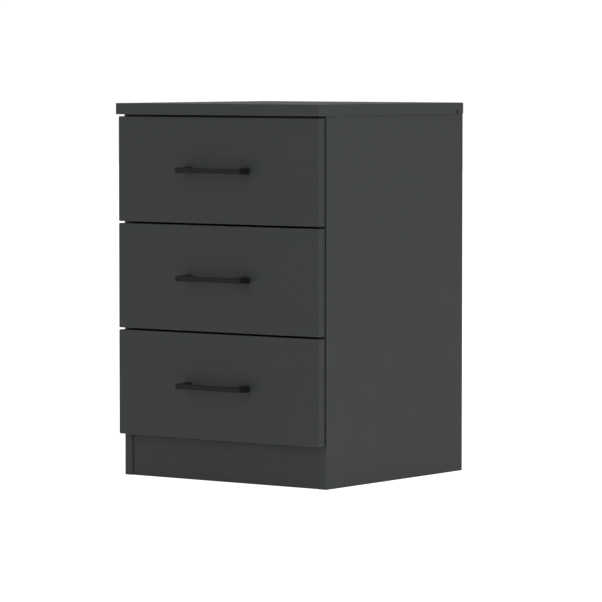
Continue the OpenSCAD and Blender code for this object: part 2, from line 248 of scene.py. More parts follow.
def makeGrainGroup():
    # long fibres along the stretch direction, with finer streaks over them
    broadShare, fineShare, fineScale = 0.65, 0.35, 4.0
    tree, given, result, place, scale = newPattern(
        "fibreGrain", [("Along", "Vector", (1.0, 1.0, 1.0))], [("Streak", "Float"), ("Height", "Float")])
    drawn = calcVector(tree, "MULTIPLY", place, given["Along"])
    broad = noise(tree, drawn, scale, detail=5.0, roughness=0.6)
    fine = noise(tree, drawn, times(tree, scale, fineScale), detail=3.0, roughness=0.55)
    put(tree, result["Streak"], plus(tree, times(tree, broad, broadShare), times(tree, fine, fineShare)))
    put(tree, result["Height"], fine)
    return tree


def makeChipGroup():
    # cut chipboard: flat chips of mixed wood lying along the board, with dark gaps
    gapCut, gapShade, dustShade, dustScale = (0.5, 0.85), 0.55, 0.35, 3.0
    tree, given, result, place, scale = newPattern(
        "chipEdge", [("Light", "Color", (0.5, 0.36, 0.21, 1)), ("Dark", "Color", (0.16, 0.09, 0.045, 1))],
        [("Color", "Color"), ("Height", "Float")])
    chips = cells(tree, place, scale)
    tone = addNode(tree, "ShaderNodeSeparateColor", {"Color": chips["Color"]}).outputs["Red"]
    toned = blendColours(tree, tone, given["Light"], given["Dark"])
    gaps = stretch(tree, chips["Distance"], *gapCut)
    dust = noise(tree, place, times(tree, scale, dustScale), detail=3.0)
    shaded = blendColours(tree, times(tree, gaps, gapShade), toned, given["Dark"])
    put(tree, result["Color"], blendColours(tree, times(tree, dust, dustShade), shaded, given["Light"]))
    put(tree, result["Height"], minus(tree, dust, gaps))
    return tree


mottleGroup = makeMottleGroup()
pearlGroup = makePearlGroup()
wearGroup = makeWearGroup()
grainGroup = makeGrainGroup()
chipGroup = makeChipGroup()


# finishes: each function gives a colour, a roughness and the height of the bumps.
# A pair such as "cloud" is a pattern's size and its amount, "gloss" is a span of roughness,
# and "bump" is strength and depth.

def newFinish(name, sizes):
    made = bpy.data.materials.new(name)
    made.use_nodes = True
    made.diffuse_color = sizes["colour"]
    tree = made.node_tree
    tree.nodes.clear()
    shader = addNode(tree, "ShaderNodeBsdfPrincipled", {
        "Base Color": sizes["colour"], "Roughness": sizes["roughness"],
        "Metallic": sizes.get("metallic", 0.0), "Specular IOR Level": sizes["specular"]})
    if "softness" in sizes:
        shader.inputs["Subsurface Weight"].default_value = sizes["softness"]
        shader.inputs["Subsurface Scale"].default_value = sizes["softDepth"]
    addNode(tree, "ShaderNodeOutputMaterial", {"Surface": shader.outputs["BSDF"]})
    return made, tree, shader.inputs


def makeFinish(name, pattern, sizes):
    made, tree, sockets = newFinish(name, sizes)
    place = addNode(tree, "ShaderNodeTexCoord").outputs["Object"]
    colour, roughness, height = pattern(tree, place, sizes)
    strength, depth = sizes["bump"]
    bump = addNode(tree, "ShaderNodeBump", {"Strength": strength, "Distance": depth, "Height": height})
    put(tree, sockets["Base Color"], colour)
    put(tree, sockets["Roughness"], roughness)
    put(tree, sockets["Normal"], bump.outputs["Normal"])
    return made


def useGroup(tree, group, **values):
    return addNode(tree, "ShaderNodeGroup", values, node_tree=group).outputs


def rubbedArris(tree, place, size, amount):
    arris = addNode(tree, "ShaderNodeAttribute", attribute_name="arris").outputs["Fac"]
    return useGroup(tree, wearGroup, Vector=place, Arris=arris, Size=size, Amount=amount)["Mask"]


def clouded(tree, place, size, amount):
    return useGroup(tree, mottleGroup, Vector=place, Size=size, Amount=amount)["Tint"]


def tinted(tree, colour, tint):
    return scaled(tree, colour if isinstance(colour, bpy.types.NodeSocket) else colour[:3], tint)


foilSizes = {
    "colour": paint(57, 60, 60.5), "cloud": (160 * mm, 0.05), "speck": (0.9 * mm, 0.13),
    "worn": paint(112, 114, 114), "wear": (18 * mm, 0.32), "wornRoughness": 0.12,
    "roughness": 0.46, "roughnessDrift": 0.16, "specular": 0.32,
    "emboss": 0.7 * mm, "bump": (0.6, 0.02 * mm),
}
bandTone = 1.04  # the edge band against the foil
bandColour = tuple(part * bandTone for part in foilSizes["colour"][:3]) + (1.0,)
bandSizes = dict(foilSizes, colour=bandColour, wear=(18 * mm, 0.38))


def graphiteFoil(tree, place, sizes):
    tint = times(tree, clouded(tree, place, *sizes["cloud"]), clouded(tree, place, *sizes["speck"]))
    pearl = useGroup(tree, pearlGroup, Vector=place, Size=sizes["emboss"])
    rubbed = rubbedArris(tree, place, *sizes["wear"])
    colour = blendColours(tree, rubbed, tinted(tree, sizes["colour"], tint), sizes["worn"])
    dulled = plus(tree, times(tree, pearl["Sheen Shift"], sizes["roughnessDrift"]), sizes["roughness"])
    return colour, plus(tree, dulled, times(tree, rubbed, sizes["wornRoughness"])), pearl["Height"]


sawnSizes = {
    "colour": paint(190, 167, 132), "dark": paint(110, 83, 56), "chip": 1.7 * mm, "cloud": (50 * mm, 0.12),
    "roughness": 0.85, "gloss": (0.92, 0.74), "specular": 0.2, "bump": (0.8, 0.25 * mm),
}
# dark chipboard for the top's cut faces: a painted shade standing in for the shade inside the top's groove
grooveShadeSizes = dict(sawnSizes, colour=paint(52, 50, 47), dark=paint(33, 31, 29))
routedSizes = dict(
    sawnSizes, colour=paint(160, 130, 96), dark=paint(118, 88, 60), chip=0.6 * mm, bump=(0.8, 0.08 * mm))


def cutBoard(tree, place, sizes):
    chips = useGroup(
        tree, chipGroup, Vector=place, Size=sizes["chip"], Light=sizes["colour"], Dark=sizes["dark"])
    colour = tinted(tree, chips["Color"], clouded(tree, place, *sizes["cloud"]))
    return colour, stretch(tree, chips["Height"], 0.0, 1.0, *sizes["gloss"]), chips["Height"]


paleFoilSizes = {
    "colour": paint(180, 180, 176), "cloud": (120 * mm, 0.04), "streakTint": (0.94, 1.05),
    "worn": paint(150, 132, 108), "wear": (20 * mm, 0.35),
    "grain": 5 * mm, "grainDraw": (1.0, 0.06, 1.0),  # the grain is long where this is small
    "roughness": 0.5, "gloss": (0.44, 0.58), "specular": 0.35, "bump": (0.25, 0.02 * mm),
}
crossFoilSizes = dict(paleFoilSizes, grainDraw=(0.06, 1.0, 1.0))


def paleFoil(tree, place, sizes):
    grain = useGroup(tree, grainGroup, Vector=place, Along=sizes["grainDraw"], Size=sizes["grain"])
    streaks = stretch(tree, grain["Streak"], 0.3, 0.7, *sizes["streakTint"])
    streaky = tinted(tree, sizes["colour"], times(tree, clouded(tree, place, *sizes["cloud"]), streaks))
    colour = blendColours(tree, rubbedArris(tree, place, *sizes["wear"]), streaky, sizes["worn"])
    return colour, stretch(tree, grain["Streak"], 0.25, 0.75, *sizes["gloss"]), grain["Height"]


hardboardSizes = {
    "colour": paint(122, 99, 76), "cloud": (90 * mm, 0.10), "fibre": 0.9 * mm, "fibreTint": (0.82, 1.16),
    "weaveScale": 190, "weaveWander": 2.0, "weaveShare": 0.5,
    "roughness": 0.72, "gloss": (0.8, 0.62), "specular": 0.25, "bump": (0.4, 0.05 * mm),
}


def hardboard(tree, place, sizes):
    # pressed fibre with a faint woven print from the press
    values = {"Vector": place, "Scale": sizes["weaveScale"], "Distortion": sizes["weaveWander"]}
    warp, weft = [
        addNode(tree, "ShaderNodeTexWave", values, bands_direction=axis).outputs["Fac"]
        for axis in ("X", "Z")]
    fibre = noise(tree, place, 1 / sizes["fibre"], detail=5.0, roughness=0.65)
    fibreTint = stretch(tree, fibre, 0.3, 0.7, *sizes["fibreTint"])
    tint = times(tree, clouded(tree, place, *sizes["cloud"]), fibreTint)
    height = plus(tree, fibre, times(tree, times(tree, warp, weft), sizes["weaveShare"]))
    return tinted(tree, sizes["colour"], tint), stretch(tree, fibre, 0.3, 0.7, *sizes["gloss"]), height


beechSizes = {
    "colour": paint(205, 168, 122), "light": paint(214, 180, 134), "dark": paint(176, 132, 86),
    "fleck": paint(128, 84, 50), "fleckScale": 900, "fleckShade": 0.4,
    "grain": 1.1 * mm, "grainDraw": (0.22, 0.22, 0.22),
    "roughness": 0.62, "gloss": (0.56, 0.7), "specular": 0.3, "bump": (0.4, 0.06 * mm),
}


def bareWood(tree, place, sizes):
    grain = useGroup(tree, grainGroup, Vector=place, Along=sizes["grainDraw"], Size=sizes["grain"])
    flecks = stretch(tree, noise(tree, place, sizes["fleckScale"], detail=1.0), 0.62, 0.72)
    rings = blendColours(tree, stretch(tree, grain["Streak"], 0.35, 0.65), sizes["light"], sizes["dark"])
    colour = blendColours(tree, times(tree, flecks, sizes["fleckShade"]), rings, sizes["fleck"])
    return colour, stretch(tree, grain["Streak"], 0.3, 0.7, *sizes["gloss"]), grain["Height"]


zincSizes = {
    "colour": paint(196, 197, 200), "cloud": (6 * mm, 0.10),
    "stain": paint(168, 160, 142), "stainScale": 420, "stainCut": (0.5, 0.72), "stainShade": 0.35,
    "roughness": 0.32, "gloss": (0.27, 0.46), "specular": 0.5, "metallic": 1.0,
    "skinScale": 2600, "bump": (0.2, 0.02 * mm),
}
nylonSizes = {
    "colour": paint(232, 231, 224), "cloud": (8 * mm, 0.05),
    "stain": paint(176, 172, 158), "stainScale": 260, "stainCut": (0.52, 0.75), "stainShade": 0.3,
    "roughness": 0.42, "gloss": (0.38, 0.55), "specular": 0.45, "softness": 0.15, "softDepth": 1.5 * mm,
    "skinScale": 1900, "bump": (0.15, 0.02 * mm),
}


def stained(tree, place, sizes):
    # zinc that has dulled in patches, nylon with grime on it
    patches = noise(tree, place, sizes["stainScale"], detail=4.0, roughness=0.6)
    stain = stretch(tree, patches, *sizes["stainCut"])
    toned = tinted(tree, sizes["colour"], clouded(tree, place, *sizes["cloud"]))
    colour = blendColours(tree, times(tree, stain, sizes["stainShade"]), toned, sizes["stain"])
    return colour, stretch(tree, stain, 0.0, 1.0, *sizes["gloss"]), noise(tree, place, sizes["skinScale"])


epoxySizes = {
    "colour": paint(218, 218, 213), "cloud": (30 * mm, 0.05), "peel": 1.1 * mm,
    "worn": paint(150, 152, 154), "wear": (12 * mm, 0.45),
    "roughness": 0.36, "gloss": (0.30, 0.44), "specular": 0.5, "bump": (0.45, 0.03 * mm),
}
powderSizes = dict(
    epoxySizes, colour=paint(28, 29, 29), worn=paint(70, 71, 71), peel=0.5 * mm,
    roughness=0.44, gloss=(0.38, 0.52), specular=0.2)


def coatedSteel(tree, place, sizes):
    # powder or epoxy coat: orange peel and rubbed arrises
    skin = noise(tree, place, 1 / sizes["peel"], detail=3.0, roughness=0.55)
    toned = tinted(tree, sizes["colour"], clouded(tree, place, *sizes["cloud"]))
    colour = blendColours(tree, rubbedArris(tree, place, *sizes["wear"]), toned, sizes["worn"])
    return colour, stretch(tree, skin, 0.3, 0.7, *sizes["gloss"]), skin


rubberSizes = {
    "colour": paint(206, 210, 212), "cloud": (4 * mm, 0.08),
    "roughness": 0.3, "gloss": (0.24, 0.42), "glossScale": 700, "specular": 0.5,
    "softness": 0.3, "softDepth": 1.0 * mm, "skinScale": 1500, "bump": (0.1, 0.02 * mm),
}


def clearRubber(tree, place, sizes):
    colour = tinted(tree, sizes["colour"], clouded(tree, place, *sizes["cloud"]))
    patches = noise(tree, place, sizes["glossScale"], detail=3.0)
    return colour, stretch(tree, patches, 0.3, 0.7, *sizes["gloss"]), noise(tree, place, sizes["skinScale"])


foil = makeFinish("graphiteFoil", graphiteFoil, foilSizes)
band = makeFinish("graphiteBand", graphiteFoil, bandSizes)
chipboard = makeFinish("sawnChipboard", cutBoard, sawnSizes)
# the dark chipboard of the top's groove walls is painted shade
stainedChipboard = makeFinish("stainedChipboard", cutBoard, grooveShadeSizes)
fibreboard = makeFinish("routedFibreboard", cutBoard, routedSizes)
rawHardboard = makeFinish("rawHardboard", hardboard, hardboardSizes)
darkHardboard = makeFinish("graphiteHardboard", hardboard, dict(hardboardSizes, colour=paint(66, 68, 68)))
paleHardboard = makeFinish("paleHardboard", hardboard, dict(hardboardSizes, colour=paint(176, 176, 172)))
paleFoilY = makeFinish("paleFoilLengthwise", paleFoil, paleFoilSizes)
paleFoilX = makeFinish("paleFoilCrosswise", paleFoil, crossFoilSizes)
beech = makeFinish("bareBeech", bareWood, beechSizes)
zinc = makeFinish("zincPlate", stained, zincSizes)
epoxyWhite = makeFinish("whiteEpoxyCoat", coatedSteel, epoxySizes)
powderBlack = makeFinish("blackPowderCoat", coatedSteel, powderSizes)
nylon = makeFinish("whiteNylon", stained, nylonSizes)
clearPad = makeFinish("clearPad", clearRubber, rubberSizes)
print("finishes made:", len(bpy.data.materials))


# mesh helpers

meshSizes = {
    "merge": 0.001 * mm,  # corners closer than this are one
    "touch": 0.01 * mm,  # a point this near a side of a box lies on it
    "flat": math.radians(0.5),  # faces that meet at less are one face
    "sharp": math.radians(34),  # edges that turn more stay sharp
}


def camel(node):
    first, *rest = node.split("_")
    return first + "".join(word.capitalize() for word in rest)


def mergedCopy(node):
    work = bmesh.new()
    work.from_mesh(cadNodes[node].data)
    bmesh.ops.remove_doubles(work, verts=work.verts, dist=meshSizes["merge"])
    return work


def plainCopy(node):
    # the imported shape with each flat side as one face
    work = mergedCopy(node)
    bmesh.ops.dissolve_limit(work, angle_limit=meshSizes["flat"], verts=work.verts, edges=work.edges)
    return work


def roundEdges(work, edges, reach, segments):
    return bmesh.ops.bevel(
        work, geom=edges, offset=reach, offset_type="OFFSET", segments=segments, profile=0.5,
        affect="EDGES", clamp_overlap=False)["faces"]


def meshFrom(work, name, closed=False):
    if closed:
        bmesh.ops.recalc_face_normals(work, faces=work.faces)
    mesh = bpy.data.meshes.new(name)
    work.to_mesh(mesh)
    work.free()
    return mesh


def evaluatedMesh(thing):
    return bpy.data.meshes.new_from_object(thing.evaluated_get(bpy.context.evaluated_depsgraph_get()))


def finishPiece(node, mesh):
    for face in mesh.polygons:
        face.use_smooth = True
    mesh.set_sharp_from_angle(angle=meshSizes["sharp"])
    piece = addToScene(camel(node), mesh)
    weighted = piece.modifiers.new("flatFaces", "WEIGHTED_NORMAL")
    weighted.keep_sharp = True
    piece.data = evaluatedMesh(piece)
    piece.modifiers.clear()
    piece.data.name = piece.name
    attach(piece, bodyOf[node])
    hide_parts(node)


# boards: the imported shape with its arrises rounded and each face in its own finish

boardSizes = {
    "carcassArris": 0.7 * mm,
    "frontArris": 1.3 * mm,
    "boxArris": 0.5 * mm,
    "sheetArris": 0.25 * mm,
    "shortestArris": 2 * mm,
    "arrisSteps": 3,
}
sides = {"-x": (0, -1), "+x": (0, 1), "-y": (1, -1), "+y": (1, 1), "-z": (2, -1), "+z": (2, 1)}
coatings = [band, foil, paleFoilY, paleFoilX, paleHardboard, darkHardboard]  # the first one wins on an arris
slightTurn = 0.2  # an arris face turned this far towards a side meets it


def sidesTouched(point, low, high):
    touched = set()
    for name, (axis, sign) in sides.items():
        edge = high[axis] if sign > 0 else low[axis]
        if abs(point[axis] - edge) < meshSizes["touch"]:
            touched.add(name)
    return touched


def boardFrom(node, arris, finishes):
    low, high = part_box(node)
    work = plainCopy(node)
    edges = [
        edge for edge in work.edges
        if edge.calc_length() > boardSizes["shortestArris"]
        and len(sidesTouched(edge.verts[0].co, low, high) & sidesTouched(edge.verts[1].co, low, high)) >= 2
    ]
    rounded = set(roundEdges(work, edges, arris, boardSizes["arrisSteps"]))
    onArris = work.verts.layers.float.new("arris")
    for face in work.faces:
        for vert in face.verts:
            if face in rounded and not sidesTouched(vert.co, low, high):
                vert[onArris] = 1.0
    others = finishes["all"]
    used = sorted({finish.name for finish in finishes.values()})
    work.normal_update()
    for face in work.faces:
        facing = {("+" if share > 0 else "-") + axis: abs(share) for axis, share in zip("xyz", face.normal)}
        if face in rounded:
            # a coating carries on over the arris beside it
            meeting = [finishes.get(name, others) for name, share in facing.items() if share > slightTurn]
            finish = min(meeting, key=lambda one: coatings.index(one) if one in coatings else len(coatings))
        else:
            name = max(facing, key=facing.get)
            outside = name in sidesTouched(face.calc_center_median(), low, high)
            finish = finishes.get(name, others) if outside else finishes["cut"]
        face.material_index = used.index(finish.name)
    mesh = meshFrom(work, camel(node))
    for name in used:
        mesh.materials.append(bpy.data.materials[name])
    finishPiece(node, mesh)


def makeCarcass():
    arris = boardSizes["carcassArris"]
    banded = {"all": foil, "-y": band, "cut": chipboard}
    bareEnds = {"all": foil, "-x": chipboard, "+x": chipboard, "cut": chipboard}
    # the top's groove runs out through its bands; its cut faces are painted dark, a painted shade standing
    # in for the shade inside the groove
    top = dict(banded, **{"-x": band, "+x": band, "+y": chipboard, "cut": stainedChipboard})
    boardFrom("top_panel", arris, top)
    for side in ("left", "right"):
        upright = dict(banded, **{"+y": chipboard, "-z": chipboard, "+z": chipboard})
        boardFrom("side_panel_" + side, arris, upright)
    boardFrom("base_panel", arris, dict(banded, **{"-x": chipboard, "+x": chipboard, "+y": chipboard}))
    boardFrom("plinth_panel", arris, dict(bareEnds, **{"-z": chipboard}))
    for end in ("front", "back"):
        boardFrom("top_rail_" + end, arris, bareEnds)
    sheet = {"all": rawHardboard, "-y": darkHardboard, "cut": rawHardboard}
    boardFrom("back_panel", boardSizes["sheetArris"], sheet)


def makeDrawerBox(k):
    arris = boardSizes["boxArris"]
    boardFrom("drawer_front_%d" % k, boardSizes["frontArris"], {"all": foil, "cut": fibreboard})
    for side in ("left", "right"):
        boxSide = {"all": paleFoilY, "-y": chipboard, "cut": chipboard}
        boardFrom("drawer_side_%s_%d" % (side, k), arris, boxSide)
    boxBack = {"all": paleFoilX, "-x": chipboard, "+x": chipboard, "cut": chipboard}
    boardFrom("drawer_back_%d" % k, arris, boxBack)
    bottom = {"all": rawHardboard, "+z": paleHardboard, "cut": rawHardboard}
    boardFrom("drawer_bottom_%d" % k, boardSizes["sheetArris"], bottom)


makeCarcass()
for k in drawers:
    makeDrawerBox(k)
print("boards made")


# geometry trees

def newGeometryTree(name, inputs):
    return newTree(
        "GeometryNodeTree", name, [("Geometry", "Geometry", None)] + inputs, [("Geometry", "Geometry")])


def modelFrom(tree, given):
    return addNode(
        tree, "GeometryNodeObjectInfo", {"Object": given}, transform_space="ORIGINAL").outputs["Geometry"]


def finishTree(tree, geometry, material, result):
    real = addNode(tree, "GeometryNodeRealizeInstances", {"Geometry": geometry}).outputs[0]
    dressed = addNode(tree, "GeometryNodeSetMaterial", {"Geometry": real, "Material": material}).outputs[0]
    put(tree, result["Geometry"], dressed)


def grow(mesh, tree, values):
    # runs a geometry tree on a mesh and gives back the plain mesh
    holder = addToScene("holder", mesh)
    modifier = holder.modifiers.new("build", "NODES")
    modifier.node_group = tree
    for item in tree.interface.items_tree:
        if item.in_out == "INPUT" and item.name in values:
            modifier[item.identifier] = values[item.name]
    made = evaluatedMesh(holder)
    bpy.data.objects.remove(holder)
    bpy.data.meshes.remove(mesh)
    return made


# fixings: one turned model of each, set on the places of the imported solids

def solidsOf(node):
    # lowest and highest corner of each separate solid of a node
    work = mergedCopy(node)
    left = set(work.verts)
    found = []
    while left:
        reached = [left.pop()]
        for vert in reached:
            near = {edge.other_vert(vert) for edge in vert.link_edges} & left
            left -= near
            reached += near
        found.append([
            Vector(pick(vert.co[axis] for vert in reached) for axis in range(3)) for pick in (min, max)])
    work.free()
    return sorted(found, key=lambda pair: tuple(round(value, 5) for value in pair[0]))


def longestOf(node):
    low, high = solidsOf(node)[0]
    return max(high - low)


def turned(profile, turns, closed=False, flute=1.0):
    # spins (radius, height) points about Z; every second point of a ring is drawn in by the flute
    work = bmesh.new()
    rings = []
    for radius, height in profile:
        if radius == 0:
            rings.append([work.verts.new((0, 0, height))])
            continue
        ring = []
        for i in range(turns):
            angle = math.tau * i / turns
            reach = radius * (1.0 if i % 2 else flute)
            ring.append(work.verts.new((reach * math.cos(angle), reach * math.sin(angle), height)))
        rings.append(ring)
    for upper, lower in zip(rings, rings[1:] + rings[:1] if closed else rings[1:]):
        for i in range(turns):
            j = (i + 1) % turns
            if len(upper) == 1:
                work.faces.new((upper[0], lower[i], lower[j]))
            elif len(lower) == 1:
                work.faces.new((upper[j], upper[i], lower[0]))
            else:
                work.faces.new((upper[i], lower[i], lower[j], upper[j]))
    return meshFrom(work, "turned", closed=True)


def addPrism(work, first, second):
    # closes two matching outlines into a prism
    work.faces.new(first)
    work.faces.new(second[::-1])
    for i in range(len(first)):
        j = (i + 1) % len(first)
        work.faces.new((first[i], second[i], second[j], first[j]))


crossSizes = {"clear": 0.4 * mm, "taper": 0.62}  # start above the head, and width at the bottom


def crossCutter(width, reach, depth):
    # two crossed wedges, narrower at the bottom
    work = bmesh.new()
    for turn in (0, 1):
        points = []
        for height, share in ((crossSizes["clear"], 1.0), (-depth, crossSizes["taper"])):
            for sx, sy in ((-1, -1), (1, -1), (1, 1), (-1, 1)):
                x, y = sx * width / 2 * share, sy * reach / 2 * share
                points.append(work.verts.new((y, x, height) if turn else (x, y, height)))
        addPrism(work, points[:4], points[4:])
    return meshFrom(work, "cutter", closed=True)


def withCross(mesh, width, reach, depth):
    body = addToScene("body", mesh)
    cutter = addToScene("cutter", crossCutter(width, reach, depth))
    cut = body.modifiers.new("recess", "BOOLEAN")
    cut.object = cutter
    cut.solver = "EXACT"
    cut.use_self = True
    made = evaluatedMesh(body)
    bpy.data.objects.remove(body)
    bpy.data.objects.remove(cutter)
    return made


screwSizes = {
    "head": 3.2 * mm, "rise": 1.1 * mm, "shank": 1.75 * mm, "pitch": 1.1 * mm,
    "threadTop": 0.2 * mm,  # below the head
    "threadDepth": 0.2,  # against the shank
    "headOutline": ((0, 0), (0.45, 0), (0.8, 0.18), (0.97, 0.55), (1, 0.8), (0.98, 1)),  # across, down
    "crossWidth": 0.22, "crossReach": 1.15, "crossDepth": 0.8,
    "turns": 20,
}
boltSizes = dict(screwSizes, head=4.0 * mm, rise=2.2 * mm, shank=2.0 * mm, pitch=0.7 * mm)


def screwModel(node, sizes):
    head, rise, shank, pitch = sizes["head"], sizes["rise"], sizes["shank"], sizes["pitch"]
    profile = [(head * across, -rise * down) for across, down in sizes["headOutline"]] + [(shank, -rise)]
    # then ring by ring down the thread, ending in a point
    core = shank - shank * sizes["threadDepth"]
    crest, lastTurn, shoulder, tip = 0.35 * pitch, 2.2 * shank, 1.4 * shank, 0.3 * shank
    top, bottom = -rise - sizes["threadTop"], -longestOf(node)
    profile.append((core, top))
    height = top - pitch
    while height > bottom + lastTurn:
        profile += [(core, height + crest), (shank, height), (core, height - crest)]
        height -= pitch
    profile += [(core, bottom + shoulder), (tip, bottom + tip), (0, bottom)]
    return withCross(
        turned(profile, sizes["turns"]), head * sizes["crossWidth"], head * sizes["crossReach"],
        rise * sizes["crossDepth"])


nailSizes = {
    "head": 2.2 * mm, "rise": 0.5 * mm, "shank": 0.8 * mm,
    "headOutline": ((0, 0), (0.8, 0), (1, 0.35), (0.96, 0.8)),  # across, down
    "shoulder": 1.15,  # this and the two below are against the shank
    "gripWaist": 0.88,
    "point": 2.4,
    "gripRings": 6, "gripPitch": 0.5 * mm, "gripTop": 0.4 * mm, "gripEnd": 4 * mm,
    "turns": 14,
}


def nailModel(node, sizes):
    length = longestOf(node)
    head, rise, shank, pitch = sizes["head"], sizes["rise"], sizes["shank"], sizes["gripPitch"]
    profile = [(head * across, -rise * down) for across, down in sizes["headOutline"]]
    profile.append((shank * sizes["shoulder"], -rise))
    for i in range(sizes["gripRings"]):
        height = -rise - sizes["gripTop"] - i * pitch
        profile += [(shank, height), (shank * sizes["gripWaist"], height - pitch / 2)]
    profile += [(shank, -rise - sizes["gripEnd"]), (shank, -length + sizes["point"] * shank), (0, -length)]
    return turned(profile, sizes["turns"])


dowelSizes = {"radius": 4 * mm, "chamfer": 0.9 * mm, "flute": 0.955, "turns": 32}


def dowelModel(node, sizes):
    length = longestOf(node)
    radius, chamfer = sizes["radius"], sizes["chamfer"]
    profile = [(0, 0), (radius - chamfer, 0), (radius, -chamfer), (radius, -length + chamfer),
               (radius - chamfer, -length), (0, -length)]
    return turned(profile, sizes["turns"], flute=sizes["flute"])


camSizes = {
    # radius and depth in mm: the face, the neck that holds the stud, and the bottom
    "outline": ((0, 0), (7, 0), (7.5, 0.4), (7.5, 2.6), (6.7, 3), (6.7, 9.6), (7.5, 10), (7.5, 12.2),
                (7.2, 12.5), (0, 12.5)),
    "crossWidth": 1.4 * mm, "crossReach": 9 * mm, "crossDepth": 2 * mm,
    "turns": 32,
}


def camLockModel(sizes):
    profile = [(radius * mm, -depth * mm) for radius, depth in sizes["outline"]]
    return withCross(
        turned(profile, sizes["turns"]), sizes["crossWidth"], sizes["crossReach"], sizes["crossDepth"])


studSizes = {
    "core": 2.4 * mm, "thread": 3.0 * mm, "pitch": 1.6 * mm, "crest": 0.5 * mm, "threadEnd": 9.4 * mm,
    "collar": ((3.0, 9.6), (3.0, 10.2), (2.2, 10.8)),  # radius and depth in mm
    # and the ball end, radius and rise from its tip
    "ball": ((2.2, 4.2), (1.7, 3.6), (3.0, 2.6), (3.2, 1.6), (2.8, 0.4), (2.2, 0), (0, 0)),
    "turns": 20,
}


def studModel(node, sizes):
    length = longestOf(node)
    core, crest = sizes["core"], sizes["crest"]
    profile = [(0, 0), (core, 0)]
    height = -sizes["pitch"] / 2
    while height > -sizes["threadEnd"]:
        profile += [(core, height + crest), (sizes["thread"], height), (core, height - crest)]
        height -= sizes["pitch"]
    profile += [(radius * mm, -depth * mm) for radius, depth in sizes["collar"]]
    profile += [(radius * mm, rise * mm - length) for radius, rise in sizes["ball"]]
    return turned(profile, sizes["turns"])


padSizes = {"crown": 0.82, "crownSteps": 6, "turns": 28}


def padModel(node, sizes):
    low, high = solidsOf(node)[0]
    rise, radius = (high - low).y, (high - low).x / 2
    profile = [(0, 0)]
    for i in range(1, sizes["crownSteps"] + 1):
        angle = math.radians(90 * i / sizes["crownSteps"])
        profile.append((radius * math.sin(angle), -rise * sizes["crown"] * (1 - math.cos(angle))))
    return turned(profile + [(radius, -rise), (0, -rise)], sizes["turns"])


def makeFixingTree():
    # sets a model on every point, its top along the point's axis, turned at random about it
    tree, given, result = newGeometryTree(
        "setFixings",
        [("Fixing", "Object", None), ("Most Turn", "Float", 0.0), ("Seed", "Int", 1),
         ("Finish", "Material", None)])
    axis = addNode(tree, "GeometryNodeInputNamedAttribute", {"Name": "axis"}, data_type="FLOAT_VECTOR")
    facing = {"Vector": axis.outputs["Attribute"]}
    upright = addNode(tree, "FunctionNodeAlignRotationToVector", facing, axis="Z")
    turns = {2: 0.0, 3: given["Most Turn"], "Seed": given["Seed"]}  # 2 is the least turn, 3 the most
    anyTurn = addNode(tree, "FunctionNodeRandomValue", turns, data_type="FLOAT")
    spin = addNode(tree, "ShaderNodeCombineXYZ", {"Z": anyTurn.outputs[1]}).outputs["Vector"]
    spinTurn = addNode(tree, "FunctionNodeEulerToRotation", {"Euler": spin}).outputs["Rotation"]
    both = addNode(
        tree, "FunctionNodeRotateRotation",
        {"Rotation": upright.outputs["Rotation"], "Rotate By": spinTurn}, rotation_space="LOCAL")
    placed = addNode(tree, "GeometryNodeInstanceOnPoints", {
        "Points": given["Geometry"], "Instance": modelFrom(tree, given["Fixing"]),
        "Rotation": both.outputs["Rotation"]})
    finishTree(tree, placed.outputs["Instances"], given["Finish"], result)
    return tree


fixingTree = makeFixingTree()
settingSizes = {"mostTurn": math.tau, "seed": 4}


def setFixings(node, model, axisOf, finish, mostTurn=settingSizes["mostTurn"]):
    # axisOf(centre, size) gives the way a solid's top end faces
    points, axes = [], []
    for low, high in solidsOf(node):
        centre, size = (low + high) / 2, high - low
        axis = axisOf(centre, size)
        points.append(centre + Vector(axis) * abs(size.dot(Vector(axis))) / 2)
        axes += list(axis)
    places = bpy.data.meshes.new("places")
    places.from_pydata(points, [], [])
    places.attributes.new("axis", "FLOAT_VECTOR", "POINT").data.foreach_set("vector", axes)
    modelObject = addToScene("model", model)
    mesh = grow(places, fixingTree, {
        "Fixing": modelObject, "Most Turn": mostTurn, "Seed": settingSizes["seed"], "Finish": finish})
    bpy.data.objects.remove(modelObject)
    bpy.data.meshes.remove(model)
    finishPiece(node, mesh)


def inward(centre, size):
    return (-math.copysign(1, centre.x), 0, 0)


def outward(centre, size):
    return (math.copysign(1, centre.x), 0, 0)


def backward(centre, size):
    return (0, 1, 0)


def forward(centre, size):
    return (0, -1, 0)


def alongLongest(centre, size):
    longest = max(range(3), key=lambda axis: size[axis])
    return tuple(1.0 if axis == longest else 0.0 for axis in range(3))


def camFacing(centre, size):
    return (0, 0, -1) if size.z < size.x else inward(centre, size)


def studFacing(centre, size):
    return (0, 0, 1) if size.z > size.x else outward(centre, size)


def makeFixings():
    setFixings("carcass_dowels", dowelModel("carcass_dowels", dowelSizes), alongLongest, beech)
    setFixings("cam_locks", camLockModel(camSizes), camFacing, zinc)
    setFixings("cam_studs", studModel("cam_studs", studSizes), studFacing, zinc)
    setFixings("back_nails", nailModel("back_nails", nailSizes), backward, zinc)
    setFixings("runner_screws", screwModel("runner_screws", screwSizes), inward, zinc)
    setFixings("bumper_pads", padModel("bumper_pads", padSizes), forward, clearPad, mostTurn=0.0)
    for k in drawers:
        node = "drawer_runner_screws_%d" % k
        setFixings(node, screwModel(node, screwSizes), outward, zinc)
        node = "handle_screws_%d" % k
        setFixings(node, screwModel(node, boltSizes), backward, zinc)
        node = "drawer_dowels_%d" % k
        setFixings(node, dowelModel(node, dowelSizes), alongLongest, beech)


makeFixings()
print("fixings made")


# rollers: turned wheels with a dished web, set in pairs

